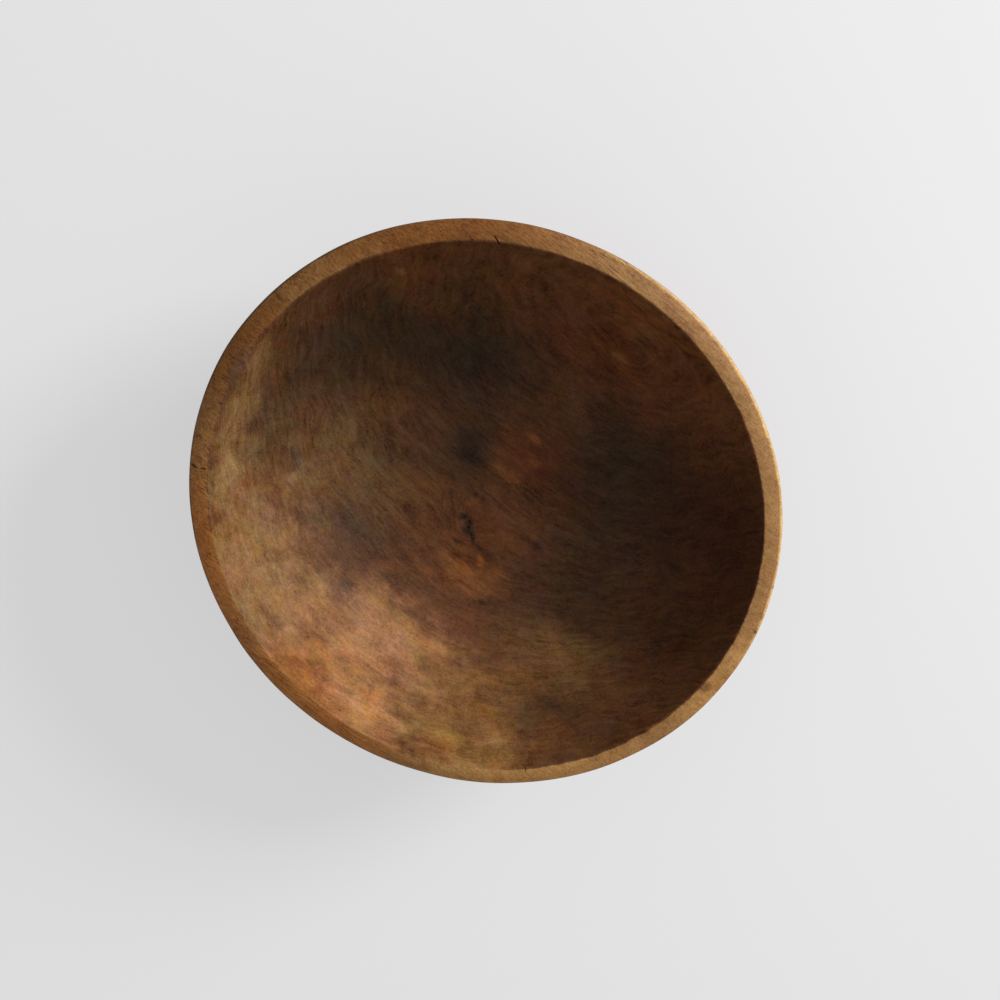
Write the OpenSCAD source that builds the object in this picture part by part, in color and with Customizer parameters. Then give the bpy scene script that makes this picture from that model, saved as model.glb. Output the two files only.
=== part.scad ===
// Turned dough bowl, one piece of wood, dried out of round across its grain.
// X runs along the grain, Y across it, Z up. The bowl stands on its foot at z = 0.

/* [Bowl] */
// Length along the grain, over the widest part of the lip
rim_length = 408; // [300:1:500]
// Width left across the grain after drying, as a share of the length
dried_width_share = 0.933; // [0.88:0.001:1]
// Height from the foot to the top of the lip
bowl_height = 116; // [105:1:125]
// Thickness of the bottom at its middle
floor_thickness = 15.5; // [12:0.5:20]

/* [Outside] */
// Diameter of the flat foot, along the grain
foot_diameter = 166; // [140:1:190]
// Radius of the belly between the foot and the lip
belly_radius = 230; // [205:1:280]

/* [Hollow] */
// Radius of the side of the hollow
hollow_side_radius = 157; // [145:1:170]
// Radius of the shallow dish across the bottom of the hollow
hollow_dish_radius = 700; // [500:10:900]

/* [Lip] */
// Width of the lip, from its widest point to its inner edge
lip_width = 16; // [12:0.5:20]
// How far the outer edge of the lip falls below its inner edge
lip_fall = 3.4; // [1:0.1:5]
// Radius of the crown across the lip
lip_crown_radius = 30; // [20:1:60]
// Radius of the outer edge of the lip
lip_outer_radius = 4; // [2.5:0.1:5]
// Radius of the inner edge of the lip
lip_inner_radius = 2; // [1:0.1:3]

/* [Drying checks] */
// Length of the longest check, across the lip
check_length = 11; // [6:0.5:13]
// Width of that check at its middle
check_width = 0.9; // [0.5:0.1:1.5]
// Depth of that check below the top of the lip
check_depth = 9; // [6:0.5:12]

/* [Hidden] */
$fn = 120;
// Straight steps along a long arc and along a short arc of the outline
long_steps = 14;
short_steps = 5;
// Depth of the spare wood under the foot, faced off when the bowl has dried
spare_wood = 3;
// How far a cut runs on past the wood
overrun = 5;
// Each check: degrees around from the grain, degrees that it runs off the grain,
// its size as a share of the longest, and its middle as a share of the way in across the lip.
check_shares = [
    [209.5, 18, 1, 0.57],
    [124.5, -19, 0.7, 0.83],
    [314.5, -47, 0.5, 0.88]
];

// Angle of the line from one point to another
function heading(from, to) = atan2(to.y - from.y, to.x - from.x);

// Point at two given distances from two points, on the left of the way from a to b
function meeting(a, from_a, b, from_b) =
    let (way = b - a)
    let (gap = norm(way))
    let (along = (from_a * from_a - from_b * from_b + gap * gap) / (2 * gap))
    let (aside = sqrt(from_a * from_a - along * along))
    a + along * way / gap + aside * [-way.y, way.x] / gap;

// Points of an arc from its first angle up to, but not at, its last, where the next arc starts
function arc(centre, radius, first, last, steps) =
    [for (k = [0:steps - 1])
        let (angle = first + (last - first) * k / steps)
        centre + radius * [cos(angle), sin(angle)]];

// Edge of the foot, and centres of the small arcs that round the two edges of the lip
foot_edge = [foot_diameter / 2, 0];
lip_outer = [rim_length / 2 - lip_outer_radius, bowl_height - lip_fall - lip_outer_radius];
lip_inner = [rim_length / 2 - lip_width + lip_inner_radius, bowl_height - lip_inner_radius];

// Each large arc is tangent to the arcs on either side of it, which fixes its centre.
// The belly's arc starts at the edge of the foot.
belly = meeting(foot_edge, belly_radius, lip_outer, belly_radius - lip_outer_radius);
crown = meeting(lip_outer, lip_crown_radius - lip_outer_radius,
                lip_inner, lip_crown_radius - lip_inner_radius);
dish = [0, floor_thickness + hollow_dish_radius];
side = meeting(lip_inner, hollow_side_radius + lip_inner_radius,
               dish, hollow_dish_radius - hollow_side_radius);

// The turned outline, from the spare wood under the foot up the outside, over the lip and down the hollow
outline = concat(
    [[0, -spare_wood], [foot_diameter / 2, -spare_wood]],
    arc(belly, belly_radius, heading(belly, foot_edge), heading(belly, lip_outer), long_steps),
    arc(lip_outer, lip_outer_radius, heading(belly, lip_outer), heading(crown, lip_outer), short_steps),
    arc(crown, lip_crown_radius, heading(crown, lip_outer), heading(crown, lip_inner), short_steps),
    arc(lip_inner, lip_inner_radius, heading(crown, lip_inner), heading(lip_inner, side), short_steps),
    arc(side, hollow_side_radius, heading(side, lip_inner), heading(dish, side), long_steps),
    arc(dish, hollow_dish_radius, heading(dish, side), -90, short_steps),
    [[0, floor_thickness]]
);

// The outline swept round in two half turns, which meet along the grain
module turned_blank() {
    for (start = [0, 180])
        rotate([0, 0, start])
            rotate_extrude(angle = 180)
                polygon(outline);
}

// A check is a thin spindle-shaped split down into the lip
module drying_check(turn, off_grain, size_share, middle_share) {
    long = check_length * size_share;
    wide = check_width * size_share;
    deep = check_depth * size_share;
    rotate([0, 0, turn])
        translate([rim_length / 2 - lip_width * middle_share, 0, bowl_height - deep])
            rotate([0, 0, off_grain - turn])
                linear_extrude(deep + overrun)
                    polygon([[-long / 2, 0], [0, -wide / 2], [long / 2, 0], [0, wide / 2]]);
}

// Drying narrows the turned bowl across the grain and opens the checks in its lip
module dried_bowl() {
    scale([1, dried_width_share, 1])
        difference() {
            turned_blank();
            for (check = check_shares)
                drying_check(check[0], check[1], check[2], check[3]);
        }
}

// The dried bowl with its foot faced flat at z = 0
module bowl() {
    color("peru")
        difference() {
            dried_bowl();
            translate([0, 0, -overrun])
                linear_extrude(overrun)
                    square(rim_length, center = true);
        }
}

bowl();
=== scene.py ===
from math import atan2, cos, hypot, pi, radians, sin, sqrt

import bpy
from mathutils import Matrix, Vector
from mathutils.kdtree import KDTree


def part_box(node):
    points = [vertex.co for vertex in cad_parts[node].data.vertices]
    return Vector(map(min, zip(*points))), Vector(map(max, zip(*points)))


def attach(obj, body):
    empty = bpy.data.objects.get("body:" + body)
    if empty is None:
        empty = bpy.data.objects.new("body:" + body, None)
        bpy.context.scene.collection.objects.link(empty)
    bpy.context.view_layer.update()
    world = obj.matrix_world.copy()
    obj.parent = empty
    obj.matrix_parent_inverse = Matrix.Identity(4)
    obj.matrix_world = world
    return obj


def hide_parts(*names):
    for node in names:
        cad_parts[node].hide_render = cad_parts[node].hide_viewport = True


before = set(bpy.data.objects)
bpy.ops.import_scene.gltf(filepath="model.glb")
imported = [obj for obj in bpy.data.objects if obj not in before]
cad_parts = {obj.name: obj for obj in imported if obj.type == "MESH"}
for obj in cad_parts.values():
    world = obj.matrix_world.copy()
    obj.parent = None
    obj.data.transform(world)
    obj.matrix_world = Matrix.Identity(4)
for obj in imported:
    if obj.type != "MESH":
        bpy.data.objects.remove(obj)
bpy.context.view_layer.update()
low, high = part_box("bowl")

# Camera
# It looks down into the bowl nearly square to the rim, 15 degrees off the bowl's upright
# axis, turned so that the grain runs from the upper left of the picture to the lower right.
CAMERA_TILT = radians(15)
CAMERA_DISTANCE = 0.93
CAMERA_LENS_MM = 50
CAMERA_FILM_MM = 36
GRAIN_TURN_IN_PICTURE = radians(-38)
WIDEST_BELOW_TOP = 0.007
AIM_RIGHT = 0.0084
AIM_UP = 0.0102

picture_right = Vector((cos(-GRAIN_TURN_IN_PICTURE), sin(-GRAIN_TURN_IN_PICTURE), 0))
across_picture = Vector((-picture_right.y, picture_right.x, 0))
towards_camera = across_picture * sin(CAMERA_TILT) + Vector((0, 0, cos(CAMERA_TILT)))
picture_up = towards_camera.cross(picture_right)
rim_middle = Vector((0, 0, high[2] - WIDEST_BELOW_TOP))
camera_place = rim_middle + towards_camera * CAMERA_DISTANCE
aim = rim_middle + picture_right * AIM_RIGHT + picture_up * AIM_UP
back = (camera_place - aim).normalized()
side = picture_up.cross(back).normalized()
camera_turn = Matrix((side, back.cross(side), back)).transposed().to_4x4()
bpy.ops.object.camera_add(location=camera_place)
camera = bpy.context.object
camera.name = "camera"
camera.matrix_world = Matrix.Translation(camera_place) @ camera_turn
camera.data.lens = CAMERA_LENS_MM
camera.data.sensor_width = CAMERA_FILM_MM
bpy.context.scene.camera = camera
bpy.context.scene.view_settings.view_transform = "Standard"

# Floor
# A wide plain floor for the bowl to stand on. Seen straight on it is lifted part of the way
# to white, so that it reads as pale paper and still shows the bowl's shadow.
FLOOR_SIZE = 12
FLOOR_COLOUR = (0.85, 0.845, 0.85, 1)
FLOOR_ROUGHNESS = 0.9
FLOOR_LIFT = 0.55
LIFTED_COLOUR = (0.9, 0.895, 0.91, 1)

bpy.ops.mesh.primitive_plane_add(size=FLOOR_SIZE, location=(0, 0, 0))
floor = bpy.context.object
floor.name = "floor"
paper = bpy.data.materials.new("pale_paper")
paper.use_nodes = True
paper_nodes = paper.node_tree.nodes
paper_links = paper.node_tree.links
paper_matt = paper_nodes["Principled BSDF"]
paper_matt.inputs["Base Color"].default_value = FLOOR_COLOUR
paper_matt.inputs["Roughness"].default_value = FLOOR_ROUGHNESS
seen_by = paper_nodes.new("ShaderNodeLightPath")
seen = seen_by.outputs["Is Camera Ray"]
for ray in ("Is Glossy Ray", "Is Transmission Ray"):
    either = paper_nodes.new("ShaderNodeMath")
    either.operation = "MAXIMUM"
    paper_links.new(seen, either.inputs[0])
    paper_links.new(seen_by.outputs[ray], either.inputs[1])
    seen = either.outputs[0]
lift = paper_nodes.new("ShaderNodeMath")
lift.operation = "MULTIPLY"
lift.inputs[1].default_value = FLOOR_LIFT
paper_links.new(seen, lift.inputs[0])
lifted = paper_nodes.new("ShaderNodeEmission")
lifted.inputs["Color"].default_value = LIFTED_COLOUR
lifted.inputs["Strength"].default_value = 1
paper_mix = paper_nodes.new("ShaderNodeMixShader")
paper_links.new(lift.outputs[0], paper_mix.inputs[0])
paper_links.new(paper_matt.outputs[0], paper_mix.inputs[1])
paper_links.new(lifted.outputs[0], paper_mix.inputs[2])
paper_links.new(paper_mix.outputs[0], paper_nodes["Material Output"].inputs["Surface"])
floor.data.materials.append(paper)

# Light
# A soft lamp stands to the right of the bowl, a little above its rim, and an even white
# surround fills in the rest. Seen straight on, the surround is as pale as the floor.
LAMP_REACH = 2.4
LAMP_HEIGHT = 1.15
LAMP_ABOVE_RIGHT = radians(30)
LAMP_SIZE = 1.1
LAMP_POWER = 60
SURROUND_STRENGTH = 0.4
SURROUND_SEEN_STRENGTH = 0.75

lamp_way = picture_right * cos(LAMP_ABOVE_RIGHT) + across_picture * sin(LAMP_ABOVE_RIGHT)
lamp_place = lamp_way * LAMP_REACH + Vector((0, 0, LAMP_HEIGHT))
bpy.ops.object.light_add(type="AREA", location=lamp_place)
lamp = bpy.context.object
lamp.name = "soft_lamp"
lamp.data.shape = "DISK"
lamp.data.size = LAMP_SIZE
lamp.data.energy = LAMP_POWER
lamp.rotation_euler = (lamp_place - rim_middle).to_track_quat("Z", "Y").to_euler()
surround = bpy.data.worlds.new("surround")
surround.use_nodes = True
surround_nodes = surround.node_tree.nodes
surround_links = surround.node_tree.links
surround_light = surround_nodes["Background"]
surround_light.inputs["Color"].default_value = (1, 1, 1, 1)
surround_strength = surround_nodes.new("ShaderNodeMapRange")
surround_strength.inputs["To Min"].default_value = SURROUND_STRENGTH
surround_strength.inputs["To Max"].default_value = SURROUND_SEEN_STRENGTH
seen_directly = surround_nodes.new("ShaderNodeLightPath").outputs["Is Camera Ray"]
surround_links.new(seen_directly, surround_strength.inputs["Value"])
surround_links.new(surround_strength.outputs[0], surround_light.inputs["Strength"])
bpy.context.scene.world = surround

# Bowl
# One piece of wood, turned on a lathe from half a log: a flat foot, a round belly, a crowned
# lip and a hollow with a gently dished bottom. Drying has drawn it in across the grain.
LIP_WIDTH = 0.016
LIP_FALL = 0.0034
LIP_CROWN_RADIUS = 0.03
LIP_OUTER_RADIUS = 0.004
LIP_INNER_RADIUS = 0.002
FOOT_RADIUS = 0.083
FLOOR_THICKNESS = 0.0155
BELLY_RADIUS = 0.23
SIDE_RADIUS = 0.157
DISH_RADIUS = 0.7
CENTRE_RADIUS = 0.002
TURN_STEPS = 480
FOOT_STEPS = 20
BELLY_STEP = 0.005
LIP_OUTER_STEP = 0.0006
CROWN_STEP = 0.001
LIP_INNER_STEP = 0.0004
SIDE_STEP = 0.004
DISH_STEP = 0.003

half_length = (high[0] - low[0]) / 2
dried_share = (high[1] - low[1]) / (high[0] - low[0])
height = high[2]


def heading(start, end):
    """Angle of the line from one point of the outline to another."""
    return atan2(end[1] - start[1], end[0] - start[0])


def meeting(a, from_a, b, from_b):
    """Point at two given distances from a and b, on the left of the way from a to b."""
    gap = hypot(b[0] - a[0], b[1] - a[1])
    along = (from_a ** 2 - from_b ** 2 + gap ** 2) / (2 * gap)
    aside = sqrt(from_a ** 2 - along ** 2)
    way = ((b[0] - a[0]) / gap, (b[1] - a[1]) / gap)
    return (a[0] + along * way[0] - aside * way[1], a[1] + along * way[1] + aside * way[0])


def arc(centre, radius, first, last, step):
    """Points of an arc about every step long, up to but not at its last angle."""
    count = max(2, round(abs(last - first) * radius / step))
    angles = [first + (last - first) * k / count for k in range(count)]
    return [(centre[0] + radius * cos(a), centre[1] + radius * sin(a)) for a in angles]


foot_edge = (FOOT_RADIUS, 0)
lip_outer = (half_length - LIP_OUTER_RADIUS, height - LIP_FALL - LIP_OUTER_RADIUS)
lip_inner = (half_length - LIP_WIDTH + LIP_INNER_RADIUS, height - LIP_INNER_RADIUS)
belly = meeting(foot_edge, BELLY_RADIUS, lip_outer, BELLY_RADIUS - LIP_OUTER_RADIUS)
crown = meeting(
    lip_outer, LIP_CROWN_RADIUS - LIP_OUTER_RADIUS, lip_inner, LIP_CROWN_RADIUS - LIP_INNER_RADIUS
)
dish = (0, FLOOR_THICKNESS + DISH_RADIUS)
hollow = meeting(lip_inner, SIDE_RADIUS + LIP_INNER_RADIUS, dish, DISH_RADIUS - SIDE_RADIUS)
lip_start = heading(belly, lip_outer)
crown_start = heading(crown, lip_outer)
crown_end = heading(crown, lip_inner)
dish_start = heading(dish, hollow)
outside_outline = (
    [(CENTRE_RADIUS + (FOOT_RADIUS - CENTRE_RADIUS) * k / FOOT_STEPS, 0) for k in range(FOOT_STEPS)]
    + arc(belly, BELLY_RADIUS, heading(belly, foot_edge), lip_start, BELLY_STEP)
)
lip_outline = (
    arc(lip_outer, LIP_OUTER_RADIUS, lip_start, crown_start, LIP_OUTER_STEP)
    + arc(crown, LIP_CROWN_RADIUS, crown_start, crown_end, CROWN_STEP)
)
hollow_outline = (
    arc(lip_inner, LIP_INNER_RADIUS, crown_end, heading(lip_inner, hollow), LIP_INNER_STEP)
    + arc(hollow, SIDE_RADIUS, heading(hollow, lip_inner), dish_start, SIDE_STEP)
    + arc(dish, DISH_RADIUS, dish_start, -pi / 2 + CENTRE_RADIUS / DISH_RADIUS, DISH_STEP)
    + [(CENTRE_RADIUS, FLOOR_THICKNESS)]
)
outline = outside_outline + lip_outline + hollow_outline

bpy.ops.object.select_all(action="DESELECT")
bpy.ops.mesh.primitive_circle_add(
    vertices=TURN_STEPS, radius=outline[0][0], fill_type="TRIFAN", location=(0, 0, 0)
)
bowl = bpy.context.object
bowl.name = "dough_bowl"
bpy.ops.object.mode_set(mode="EDIT")
bpy.ops.mesh.select_mode(type="EDGE")
bpy.ops.mesh.select_all(action="DESELECT")
bpy.ops.mesh.select_non_manifold()
for (radius, level), (next_radius, next_level) in zip(outline, outline[1:]):
    bpy.ops.mesh.extrude_edges_move(TRANSFORM_OT_translate={"value": (0, 0, next_level - level)})
    grow = next_radius / radius
    bpy.ops.transform.resize(value=(grow, grow, 1), center_override=(0, 0, 0))
bpy.ops.mesh.extrude_edges_move(TRANSFORM_OT_translate={"value": (0, 0, 0)})
bpy.ops.mesh.merge(type="CENTER")
bpy.ops.mesh.select_all(action="SELECT")
bpy.ops.transform.resize(value=(1, dried_share, 1), center_override=(0, 0, 0))
bpy.ops.mesh.normals_make_consistent(inside=False)
bpy.ops.object.mode_set(mode="OBJECT")

# Hand wear and drying leave the walls slightly uneven. The foot stays flat.
UNEVEN_DEPTH = 0.0009
UNEVEN_SIZE = 0.055
FOOT_LEVEL = 0.004

walls = bowl.vertex_groups.new(name="walls")
walls.add([v.index for v in bowl.data.vertices if v.co.z > FOOT_LEVEL], 1, "REPLACE")
swell = bpy.data.textures.new("swell", "CLOUDS")
swell.noise_scale = UNEVEN_SIZE
swell.noise_depth = 1
bpy.ops.object.modifier_add(type="DISPLACE")
uneven = bowl.modifiers[-1]
uneven.texture = swell
uneven.texture_coords = "LOCAL"
uneven.strength = UNEVEN_DEPTH
uneven.mid_level = 1
uneven.vertex_group = "walls"
bpy.ops.object.modifier_apply(modifier=uneven.name)

# Small losses, each cut with a rough lump: its place along and across the grain, then its
# half length, half width and depth, all in millimetres, and degrees that it is turned.
# Three drying checks and a pit in the lip, three nicks in its outer edge, and the knot.
MM = 0.001
LUMP_ROUGHNESS = 0.12
SMOOTH_BELOW = radians(40)
LOSSES = [
    (-174, -92, 2.5, 0.5, 5, 10),
    (-168, -89, 2.5, 0.5, 4.5, 30),
    (-107, 147, 4, 0.5, 4, -20),
    (133, -127, 3, 0.3, 3, -45),
    (18, 175, 2, 1, 3, -10),
    (107, 163, 3, 1, 4, -30),
    (120, 155, 2, 1, 4, -40),
    (129, 148, 1.5, 1, 4, -40),
    (-1, -31, 1.5, 1, 1, 30),
    (3, -31, 1.5, 1, 1.5, -20),
    (8, -32, 2, 1.2, 1.5, -15),
    (10, -36, 1.5, 1.2, 1.5, -85),
    (14, -39, 2, 1.2, 1.5, -20),
    (18, -41, 1.5, 1, 1, -40),
]

chips = []
for along, across, long, wide, deep, slant in LOSSES:
    bpy.ops.object.select_all(action="DESELECT")
    radius = hypot(along, across / dried_share) * MM
    level = min(lip_outline + hollow_outline, key=lambda point: abs(point[0] - radius))[1]
    spot = (along * MM, across * MM, level)
    bpy.ops.mesh.primitive_ico_sphere_add(subdivisions=3, radius=1, location=(0, 0, 0))
    chip = bpy.context.object
    bpy.ops.object.mode_set(mode="EDIT")
    bpy.ops.mesh.select_all(action="SELECT")
    bpy.ops.transform.vertex_random(offset=LUMP_ROUGHNESS, seed=len(chips) + 1)
    bpy.ops.transform.resize(value=(long * MM, wide * MM, deep * MM), center_override=(0, 0, 0))
    bpy.ops.transform.rotate(value=radians(-slant), orient_axis="Z", center_override=(0, 0, 0))
    bpy.ops.transform.translate(value=spot)
    bpy.ops.object.mode_set(mode="OBJECT")
    chips.append(chip)
bpy.ops.object.select_all(action="DESELECT")
for chip in chips:
    chip.select_set(True)
bpy.context.view_layer.objects.active = chips[0]
bpy.ops.object.join()
cutters = bpy.context.object
bpy.ops.object.select_all(action="DESELECT")
bowl.select_set(True)
bpy.context.view_layer.objects.active = bowl
bpy.ops.object.modifier_add(type="BOOLEAN")
cut = bowl.modifiers[-1]
cut.operation = "DIFFERENCE"
cut.solver = "EXACT"
cut.object = cutters
bpy.ops.object.modifier_apply(modifier=cut.name)
bpy.data.objects.remove(cutters)
bpy.ops.object.shade_smooth_by_angle(angle=SMOOTH_BELOW)

# How far each point lies along the turned outline from the inner edge of the lip: less than
# nothing in the hollow, up to the lip's width across the lip, and more down the outside.
outline_run = [0]
for start, end in zip(outline, outline[1:]):
    outline_run.append(outline_run[-1] + hypot(end[0] - start[0], end[1] - start[1]))
inner_edge_run = outline_run[len(outside_outline) + len(lip_outline)]
outline_tree = KDTree(len(outline))
for k, (radius, level) in enumerate(outline):
    outline_tree.insert((radius, level, 0), k)
outline_tree.balance()
from_edge = bowl.data.attributes.new("from_edge", "FLOAT", "POINT")
for vertex in bowl.data.vertices:
    radius = hypot(vertex.co.x, vertex.co.y / dried_share)
    nearest = outline_tree.find((radius, vertex.co.z, 0))[1]
    from_edge.data[vertex.index].value = inner_edge_run - outline_run[nearest]


def pigment(red, green, blue):
    """Colour of a finish, given as it looks on a screen, 0 to 255, for the shader."""
    looks = [value / 255 for value in (red, green, blue)]
    return tuple(c / 12.92 if c < 0.04045 else ((c + 0.055) / 1.055) ** 2.4 for c in looks) + (1,)


wood = bpy.data.materials.new("old_wood")
wood.use_nodes = True
finish = wood.node_tree.nodes["Principled BSDF"]


def shade(kind, values, **settings):
    """Add a node to the wood: its settings, then its inputs, each a value or a linked output."""
    node = wood.node_tree.nodes.new(kind)
    for name, value in settings.items():
        setattr(node, name, value)
    for name, value in values.items():
        if isinstance(value, bpy.types.NodeSocket):
            wood.node_tree.links.new(value, node.inputs[name])
        else:
            node.inputs[name].default_value = value
    return node


def sums(operation, a, b=0.0, c=0.0):
    """Result of a sum on one, two or three numbers."""
    return shade("ShaderNodeMath", {0: a, 1: b, 2: c}, operation=operation).outputs[0]


def ramp(value, start, end, low_end=0.0, high_end=1.0):
    """Value eased from one level at start to another at end."""
    levels = {"Value": value, "From Min": start, "From Max": end, "To Min": low_end, "To Max": high_end}
    return shade("ShaderNodeMapRange", levels, interpolation_type="SMOOTHSTEP").outputs["Result"]


def blend(cover, under, over):
    """One colour laid over another as far as it covers."""
    node = shade("ShaderNodeMix", {0: cover}, data_type="RGBA", clamp_factor=True)
    for index, colour in ((6, under), (7, over)):
        if isinstance(colour, bpy.types.NodeSocket):
            wood.node_tree.links.new(colour, node.inputs[index])
        else:
            node.inputs[index].default_value = colour
    return node.outputs[2]


def vectors(operation, a, b):
    """Result of a sum on two places or colours."""
    return shade("ShaderNodeVectorMath", {0: a, 1: b}, operation=operation).outputs[0]


def drawn_out(share):
    """Place in millimetres, squeezed along the grain to a share, which draws a noise out there."""
    return vectors("MULTIPLY", place_mm, (share, 1, 1))


def mottle(vector, size_mm, detail=3.0, roughness=0.55, warp=0.0):
    """Cloudy variation about a given size across, from 0 to 1."""
    values = {
        "Vector": vector,
        "Scale": 1 / size_mm,
        "Detail": detail,
        "Roughness": roughness,
        "Distortion": warp,
    }
    return shade("ShaderNodeTexNoise", values).outputs["Fac"]


def three_mottles(vector, size_mm, roughness):
    """Three cloudy variations side by side, each swinging about nothing."""
    values = {"Vector": vector, "Scale": 1 / size_mm, "Detail": 5.0, "Roughness": roughness}
    noise = shade("ShaderNodeTexNoise", values).outputs["Color"]
    return vectors("ADD", noise, (-0.5, -0.5, -0.5))


def varied(level, noise, depth):
    """A level with a noise's swing about its middle added, as deep as is said."""
    return sums("MULTIPLY_ADD", sums("SUBTRACT", noise, 0.5), depth, level)


def knot(spot_mm, reach_mm, core_mm, pull_reach_mm, pull_mm):
    """How near a knot is, from 0 to 1, and how far it pushes the rings aside, in millimetres."""
    way = shade("ShaderNodeVectorMath", {0: place_mm, 1: spot_mm}, operation="DISTANCE")
    way_mm = way.outputs["Value"]
    return ramp(way_mm, reach_mm, core_mm), ramp(way_mm, 0, pull_reach_mm, pull_mm, 0)


def built_up(level, parts):
    """A level with each part added in turn, as deep as is said beside it."""
    for part, depth in parts:
        level = sums("MULTIPLY_ADD", part, depth, level)
    return level


place = shade("ShaderNodeTexCoord", {}).outputs["Object"]
place_mm = shade("ShaderNodeVectorMath", {0: place, "Scale": 1000.0}, operation="SCALE").outputs[0]
split = shade("ShaderNodeSeparateXYZ", {0: place_mm})
x, y, z = split.outputs
edge_run = shade("ShaderNodeAttribute", {}, attribute_name="from_edge").outputs["Fac"]
edge_mm = sums("MULTIPLY", edge_run, 1000.0)

# Growth rings, which lie round the heart of the tree, above the bowl and to one side of its middle
HEART_Y_MM = -130
HEART_Z_MM = 250
RING_MM = 2.7
RING_SWAY_MM = 22
RING_SHIVER_MM = 1.6
RING_DARKEST = 0.85
KNOT_MM = (8, -37, 16)
SMALL_KNOT_MM = (18, 152, 50)

ring_sway = mottle(drawn_out(0.25), 45, 2)
ring_shiver = mottle(drawn_out(0.3), 7, 2)
near_large, large_pull = knot(KNOT_MM, reach_mm=45, core_mm=10, pull_reach_mm=26, pull_mm=9)
near_small, small_pull = knot(SMALL_KNOT_MM, reach_mm=34, core_mm=8, pull_reach_mm=30, pull_mm=16)
near_knot = sums("MAXIMUM", near_large, near_small)
heart_across = sums("POWER", sums("SUBTRACT", y, HEART_Y_MM), 2)
heart_above = sums("POWER", sums("SUBTRACT", z, HEART_Z_MM), 2)
heart_way = sums("SQRT", sums("ADD", heart_across, heart_above))
ring_pull = sums("ADD", large_pull, small_pull)
ring_wander = ((ring_sway, RING_SWAY_MM), (ring_shiver, RING_SHIVER_MM))
ring_run = sums("ADD", built_up(heart_way, ring_wander), ring_pull)
ring_count = sums("DIVIDE", ring_run, RING_MM)
ring_part = sums("FRACT", ring_count)
ring_line = sums("MULTIPLY", ramp(ring_part, 0.1, RING_DARKEST), ramp(ring_part, 1, RING_DARKEST))
good_years = {"W": ring_count, "Scale": 0.43, "Detail": 3.0, "Roughness": 0.6}
ring_year = shade("ShaderNodeTexNoise", good_years, noise_dimensions="1D").outputs["Fac"]
ring_worn = ramp(mottle(drawn_out(0.5), 16, 2), 0.42, 0.62)
ring_mark = sums("MULTIPLY", sums("MULTIPLY", ring_line, ramp(ring_year, 0.4, 0.62)), ring_worn)

# Fibres and pores, which run along the grain, and streaks that follow the rings
fibre = mottle(drawn_out(0.07), 1.1, 3, 0.62)
hair = mottle(drawn_out(0.05), 1.0, 2, 0.75)
strand = mottle(drawn_out(0.1), 3.2, 3, 0.6)
ring_place = {0: ring_run, 1: sums("MULTIPLY", x, 0.11), 2: sums("MULTIPLY", y, 0.11)}
along_rings = shade("ShaderNodeCombineXYZ", ring_place).outputs[0]
streak = mottle(along_rings, 2.4, 4, 0.8)
pore = ramp(mottle(drawn_out(0.4), 0.9, 2, 0.5), 0.6, 0.72)
speck = ramp(mottle(drawn_out(0.7), 1.9, 2, 0.55), 0.62, 0.74)
fleck = ramp(mottle(drawn_out(0.6), 1.4, 2, 0.5), 0.66, 0.8)
grit = mottle(drawn_out(0.8), 1.5, 2, 0.6)
stipple = mottle(drawn_out(0.75), 13, 5, 0.95)
hue_swing = three_mottles(drawn_out(0.7), 21, 0.9)
cloud = mottle(drawn_out(0.7), 17, 5, 0.62, 0.4)
haze = mottle(drawn_out(0.6), 48, 3, 0.6)

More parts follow.
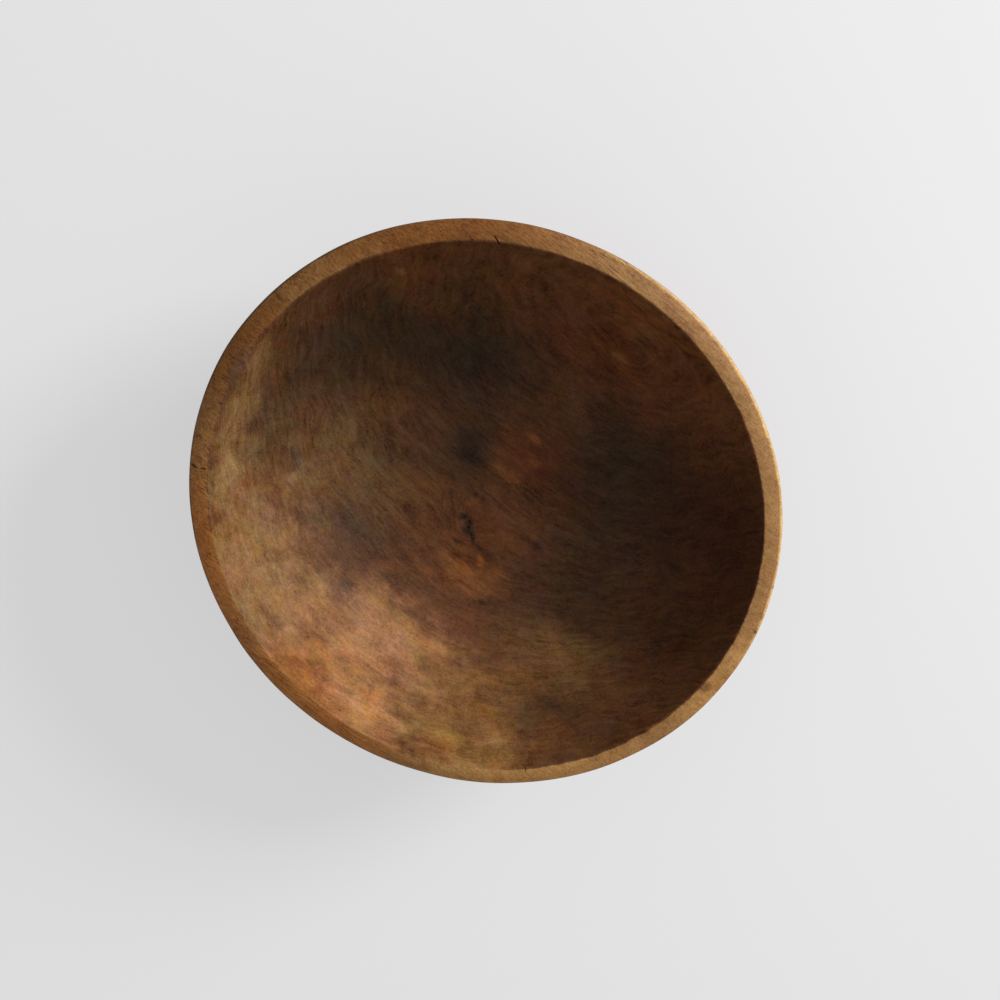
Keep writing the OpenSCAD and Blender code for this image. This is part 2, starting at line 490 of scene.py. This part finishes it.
# Stains of long use in the hollow. The dark umber and dark red patches on the right wall, which
# faces away from the lamp, are partly real stain and partly painted shade. Each is given by its
# pigment, middle along and across the grain in millimetres, reach each way in millimetres,
# degrees that it is turned, and how far it covers.
PIGMENTS = {
    "wood": pigment(104, 64, 34),
    "worn": pigment(160, 120, 74),
    "red": pigment(96, 44, 16),
    "umber": pigment(50, 38, 22),
    "soot": pigment(44, 34, 24),
    "olive": pigment(108, 82, 46),
    "orange": pigment(175, 102, 44),
    "blush": pigment(182, 128, 80),
    "gold": pigment(158, 114, 60),
    # Dark red stain, partly painted shade where it lies on the right wall
    "dark_red_and_shade": pigment(58, 28, 10),
    "plum": pigment(66, 46, 32),
}
STAINS = [
    ("umber", -95, 60, 115, 80, 0, 0.8),
    ("umber", -145, 10, 60, 90, 0, 0.75),
    ("umber", -150, -50, 35, 50, 30, 0.5),
    ("soot", -50, 80, 80, 60, 0, 0.5),
    ("soot", -25, 10, 40, 50, 0, 0.6),
    ("red", 30, 35, 70, 45, -20, 0.6),
    ("red", 15, -30, 60, 45, 0, 0.3),
    ("red", 20, 125, 130, 60, 0, 0.5),
    ("orange", 0, 165, 60, 25, 0, 0.2),
    ("orange", -130, 95, 70, 30, -20, 0.15),
    # Dark patches on the right wall, away from the lamp: partly stain and partly painted shade
    ("umber", 80, 65, 90, 80, -30, 0.8),
    ("soot", 45, 90, 60, 40, 0, 0.4),
    ("umber", 108, -5, 75, 80, 0, 0.55),
    ("dark_red_and_shade", 140, 85, 90, 100, 30, 0.8),
    ("dark_red_and_shade", 165, 20, 50, 90, 0, 0.6),
    ("umber", 90, -50, 100, 45, 10, 0.35),
    ("olive", -90, -50, 90, 70, 0, 0.5),
    ("umber", -65, -20, 55, 50, 0, 0.3),
    ("plum", -60, -85, 55, 35, 0, 0.6),
    ("worn", -105, -135, 115, 60, -30, 0.7),
    ("worn", -165, -80, 50, 60, 0, 0.15),
    ("blush", 0, -138, 95, 50, 10, 0.75),
    ("orange", -20, -175, 80, 30, 0, 0.5),
    ("blush", 20, -178, 60, 35, 5, 0.8),
    ("gold", 75, -130, 90, 45, 20, 0.35),
    ("red", 30, -95, 50, 20, 20, 0.35),
    ("orange", 38, -62, 40, 24, 20, 0.3),
    ("umber", 140, -95, 55, 35, 45, 0.55),
    ("gold", 120, -65, 60, 35, 20, 0.3),
    ("gold", 100, -150, 60, 30, 30, 0.7),
    ("orange", 145, -100, 40, 14, 50, 0.12),
    # Dark red on the lower right wall, partly stain and partly painted shade
    ("dark_red_and_shade", 160, -65, 35, 40, -50, 0.4),
]

# The lip is scrubbed paler than the hollow, and goes from red-brown at one end through
# orange to tan at the other. Its stains are given in the same way.
LIP_PIGMENTS = {
    "lip": pigment(152, 110, 64),
    "lip_red": pigment(124, 76, 31),
    "lip_tan": pigment(184, 134, 76),
    "lip_orange": pigment(170, 106, 50),
}
LIP_STAINS = [
    ("lip_red", -140, 130, 160, 80, 45, 1),
    ("lip_red", -200, -10, 110, 60, 90, 1),
    ("lip_orange", -130, -140, 130, 60, -45, 1),
    ("lip_orange", -10, -185, 130, 60, 0, 1),
    ("lip_tan", 135, -130, 150, 60, 45, 1),
    ("lip_tan", 200, 0, 60, 40, 90, 0.8),
]

# Small marks: the cracked knot in the bottom, worn gold along the left wall, pale scuffs,
# dark spots and hairline splits in the lip. The pitch-dark marks in the cut cracks are partly
# dark wood and partly painted shade. They are given in the same way again.
MARK_PIGMENTS = {
    # Pitch-dark colour, partly painted shade where it lies in the cut cracks
    "pitch_and_shade": pigment(34, 24, 14),
    "halo": pigment(84, 64, 50),
    "fleck": pigment(176, 142, 106),
    "gold": pigment(150, 114, 72),
    "amber": pigment(165, 98, 46),
    "lip_dark": pigment(96, 52, 36),
}
MARKS = [
    ("pitch_and_shade", -27, 13, 30, 18, -50, 0.45),
    ("halo", 65, 0, 24, 22, 0, 0.3),
    ("pitch_and_shade", 2, -31, 8, 5, 30, 0.8),
    ("pitch_and_shade", 9, -33, 7, 5, -60, 0.85),
    ("halo", 5, -37, 8, 6, 0, 0.4),
    ("pitch_and_shade", 11, -38, 7, 6, 0, 0.85),
    ("pitch_and_shade", 17, -39, 8, 4, -50, 0.9),
    ("pitch_and_shade", -3, -40, 6, 5, 0, 0.3),
    ("pitch_and_shade", 10, -49, 8, 3, 10, 0.7),
    ("pitch_and_shade", 25, -43, 9, 3, -5, 0.7),
    ("pitch_and_shade", 17, -57, 8, 3, 25, 0.45),
    ("pitch_and_shade", -1, -5, 4, 3, 0, 0.4),
    ("pitch_and_shade", -1, -13, 5, 4, 20, 0.55),
    ("pitch_and_shade", 5, -12, 4, 4, 0, 0.5),
    ("pitch_and_shade", -16, -22, 5, 4, 0, 0.35),
    ("pitch_and_shade", -19, -29, 8, 3, -60, 0.35),
    ("pitch_and_shade", 44, -38, 4, 3, 0, 0.4),
    ("pitch_and_shade", 58, -16, 8, 7, 0, 0.6),
    ("amber", 33, -51, 12, 5, -50, 0.5),
    ("amber", 6, 47, 12, 4, 0, 0.4),
    ("amber", 18, 34, 10, 5, -5, 0.35),
    ("amber", 8, 13, 24, 6, 0, 0.35),
    ("halo", -124, -62, 14, 9, -50, 0.6),
    ("pitch_and_shade", -124, -62, 7, 4, -50, 0.4),
    ("fleck", -116, -75, 9, 6, 30, 0.2),
    ("fleck", -154, -90, 12, 6, -55, 0.4),
    ("fleck", -144, 91, 6, 4, 0, 0.2),
    ("gold", -182, -15, 30, 11, -75, 0.5),
    ("gold", -172, -45, 30, 13, -70, 0.55),
    ("gold", -163, -70, 28, 11, -65, 0.5),
    ("gold", -150, -95, 30, 13, -60, 0.4),
    ("halo", -188, -25, 35, 8, -75, 0.5),
    ("gold", 12, 133, 10, 3, 0, 0.35),
    ("pitch_and_shade", 16, 153, 12, 9, 0, 0.45),
    ("pitch_and_shade", 28, 174, 8, 5, 0, 0.4),
    ("lip_dark", 192, -3, 8, 6, 20, 0.6),
    ("pitch_and_shade", 195, 48, 3, 2, 0, 0.7),
    ("pitch_and_shade", 184, 80, 3, 2, 0, 0.7),
    ("pitch_and_shade", -175, -91, 6, 2, 5, 0.6),
    ("pitch_and_shade", -183, -73, 7, 2, -5, 0.5),
    ("pitch_and_shade", -194, 33, 9, 2, -5, 0.5),
    ("pitch_and_shade", -197, -17, 7, 2, 0, 0.45),
]
RAGGED_RIM = (0, 0.2)
PATCH_FADE = (0.08, 0.88)


def laid_on(colour, patches, drift, ragged, colours):
    """A colour with oval patches of other colours laid on it in turn, their edges broken up by a noise."""
    worn_by = varied(0, cloud, ragged)
    for name, along, across, reach_along, reach_across, turn, cover in patches:
        way = {
            "Vector": drift,
            "Location": (along, across, 0),
            "Rotation": (0, 0, radians(turn)),
            "Scale": (reach_along, reach_across, 1),
        }
        oval = shade("ShaderNodeMapping", way, vector_type="TEXTURE").outputs[0]
        middle = shade("ShaderNodeTexGradient", {"Vector": oval}, gradient_type="SPHERICAL").outputs["Fac"]
        broken = sums("MULTIPLY_ADD", worn_by, ramp(middle, *RAGGED_RIM), middle)
        colour = blend(ramp(broken, *PATCH_FADE, 0, cover), colour, colours[name])
    return colour


def drifting(size_mm, reach_mm):
    """Place along and across the grain, blurred about by a noise so that edges wander."""
    away = three_mottles(drawn_out(0.8), size_mm, 0.72)
    away = vectors("MULTIPLY", away, (reach_mm, reach_mm, 0))
    return vectors("ADD", vectors("MULTIPLY", place_mm, (1, 1, 0)), away)


wide_drift = drifting(30, 40)
close_drift = drifting(5, 5)
hollow_colour = laid_on(PIGMENTS["wood"], STAINS, wide_drift, 0.8, PIGMENTS)
lip_colour = laid_on(LIP_PIGMENTS["lip"], LIP_STAINS, wide_drift, 0.4, LIP_PIGMENTS)

# The outer edge of the lip is darker at the end away from the lamp, partly the darker outside
# wood and partly painted shade, and carries a painted highlight along the side towards the lamp
EDGE_DARK_AND_SHADE = pigment(74, 58, 34)
EDGE_DARK_AND_SHADE_MM = (12.6, 14.4)
UNLIT_END_WAY = (-0.79, -0.62)
UNLIT_END_MM = (20, 130)
# The painted highlight on the outer edge, and the side towards the lamp where it lies
EDGE_HIGHLIGHT = pigment(222, 180, 118)
EDGE_HIGHLIGHT_MM = (11, 13.5)
EDGE_HIGHLIGHT_COVER = 0.8
LAMP_SIDE_WAY = (0.5, 1)
LAMP_SIDE_MM = (110, 170)
HIGHLIGHT_END_MM = (-70, 10)


def towards(way):
    """How far out a point lies towards one side of the bowl, in millimetres."""
    return built_up(0, ((x, way[0]), (y, way[1])))


ragged_mm = varied(varied(edge_mm, stipple, 2.5), cloud, 3)
unlit_end = ramp(towards(UNLIT_END_WAY), *UNLIT_END_MM)
lamp_side = sums("MULTIPLY", ramp(towards(LAMP_SIDE_WAY), *LAMP_SIDE_MM), ramp(x, *HIGHLIGHT_END_MM))
dark_and_shade_cover = sums("MULTIPLY", ramp(ragged_mm, *EDGE_DARK_AND_SHADE_MM), unlit_end)
highlight_cover = sums("MULTIPLY", ramp(ragged_mm, *EDGE_HIGHLIGHT_MM, 0, EDGE_HIGHLIGHT_COVER), lamp_side)
# Painted shade, with the darker outside wood, on the lip's outer edge away from the lamp
lip_colour = blend(dark_and_shade_cover, lip_colour, EDGE_DARK_AND_SHADE)
# Painted highlight on the lip's outer edge towards the lamp
lip_colour = blend(highlight_cover, lip_colour, EDGE_HIGHLIGHT)

# The outside, which handling and smoke have darkened evenly, and the foot, which is rubbed paler
OUTSIDE_BROWN = pigment(112, 72, 40)
OUTSIDE_DARK = pigment(66, 42, 25)
OUTSIDE_DARK_COVER = 0.6
FOOT_RUBBED = pigment(132, 92, 56)
FOOT_RUBBED_COVER = 0.6
FOOT_RUBBED_BELOW_MM = 2.5

outside_colour = blend(ramp(haze, 0.35, 0.65, 0, OUTSIDE_DARK_COVER), OUTSIDE_BROWN, OUTSIDE_DARK)
foot_cover = ramp(z, FOOT_RUBBED_BELOW_MM, 0.5, 0, FOOT_RUBBED_COVER)
outside_colour = blend(foot_cover, outside_colour, FOOT_RUBBED)

# All together: the hollow and the lip, the small marks on them, then the outside
LIP_FROM_MM = (-0.9, 0.6)
LIP_TO_MM = (15, 19)
OUTSIDE_FROM_MM = (14.6, 16.4)

past_hollow = ramp(ragged_mm, *LIP_FROM_MM)
on_lip = sums("MULTIPLY", past_hollow, ramp(ragged_mm, *LIP_TO_MM, 1, 0))
in_hollow = sums("SUBTRACT", 1.0, on_lip)
colour = blend(past_hollow, hollow_colour, lip_colour)
colour = laid_on(colour, MARKS, close_drift, 0.8, MARK_PIGMENTS)
colour = blend(ramp(ragged_mm, *OUTSIDE_FROM_MM), colour, outside_colour)

# The figure of the wood runs through every colour. Its hairs show most on the scrubbed lip, and
# its streaks most in the darker part of the hollow.
RING_TINT = pigment(84, 40, 16)
WORN_SIDE_MM = (-150, -50)
HAIRY_END_MM = (120, -100)

ring_cover = sums("MULTIPLY", ring_mark, sums("MULTIPLY_ADD", near_knot, 0.3, 0.15))
colour = blend(ring_cover, colour, RING_TINT)
stipple_depth = sums("MULTIPLY_ADD", in_hollow, ramp(y, *WORN_SIDE_MM, 0, -0.45), 1.6)
streak_depth = sums("MULTIPLY_ADD", in_hollow, ramp(y, *WORN_SIDE_MM, 0.4, 1.6), 0.4)
cloud_depth = sums("MULTIPLY_ADD", in_hollow, 0.9, 0.3)
hair_depth = sums("MULTIPLY_ADD", on_lip, ramp(x, *HAIRY_END_MM, 0.4, 1.9), 0.3)
noises = (
    (grit, 0.75),
    (fibre, 0.45),
    (strand, 0.3),
    (haze, 0.5),
    (stipple, stipple_depth),
    (streak, streak_depth),
    (cloud, cloud_depth),
    (hair, hair_depth),
)
tone = built_up(1, ((pore, -0.25), (speck, -0.25), (fleck, 0.35)))
for noise, depth in noises:
    tone = varied(tone, noise, depth)

# The darker the wood, the more strongly its figure shows
DARK_WOOD = (0.16, 0.03)
DARKEST_TONE = 0.1
TONE_POWERS = (0.78, 1.02, 1.3)
HUE_SWING = (0.8, 0.45, 2.3)

lightness = shade("ShaderNodeRGBToBW", {"Color": colour}).outputs[0]
figure_depth = sums("MULTIPLY_ADD", in_hollow, ramp(lightness, *DARK_WOOD, 0.05, 0.3), 1)
tone = sums("MULTIPLY_ADD", sums("SUBTRACT", tone, 1), figure_depth, 1)
tone = sums("MAXIMUM", tone, DARKEST_TONE)
tones = {k: sums("POWER", tone, power) for k, power in enumerate(TONE_POWERS)}
deepened = shade("ShaderNodeCombineXYZ", tones).outputs[0]
hue_depth = sums("MULTIPLY", sums("MULTIPLY_ADD", in_hollow, 0.7, 0.3), figure_depth)
tint = vectors("MULTIPLY", hue_swing, HUE_SWING)
tint = shade("ShaderNodeVectorMath", {0: tint, "Scale": hue_depth}, operation="SCALE").outputs[0]
tint = vectors("ADD", tint, (1, 1, 1))
figured = vectors("MULTIPLY", vectors("MULTIPLY", colour, deepened), tint)
wood.node_tree.links.new(figured, finish.inputs["Base Color"])

# The surface is dull and dry, with fine relief, in millimetres, and faint turns of the lathe
DULLNESS = 0.62
DULLNESS_SWING = 0.35
GLINT = 0.2
LATHE_RADIANS_PER_MM = 3.3

dull = varied(DULLNESS, cloud, DULLNESS_SWING)
wood.node_tree.links.new(dull, finish.inputs["Roughness"])
finish.inputs["Specular IOR Level"].default_value = GLINT
turned_mm = built_up(edge_mm, ((ring_shiver, 1.5),))
lathe_turns = sums("SINE", sums("MULTIPLY", turned_mm, LATHE_RADIANS_PER_MM))
relief_parts = (
    (ring_mark, -0.04),
    (fibre, 0.16),
    (grit, 0.12),
    (strand, 0.1),
    (hair, sums("MULTIPLY", on_lip, 0.14)),
    (pore, -0.08),
    (stipple, 0.3),
    (lathe_turns, 0.006),
)
relief_mm = built_up(0, relief_parts)
bump = shade("ShaderNodeBump", {"Height": relief_mm, "Distance": MM, "Strength": 1.0}).outputs["Normal"]
wood.node_tree.links.new(bump, finish.inputs["Normal"])
bowl.data.materials.append(wood)

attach(bowl, "root")
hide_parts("bowl")
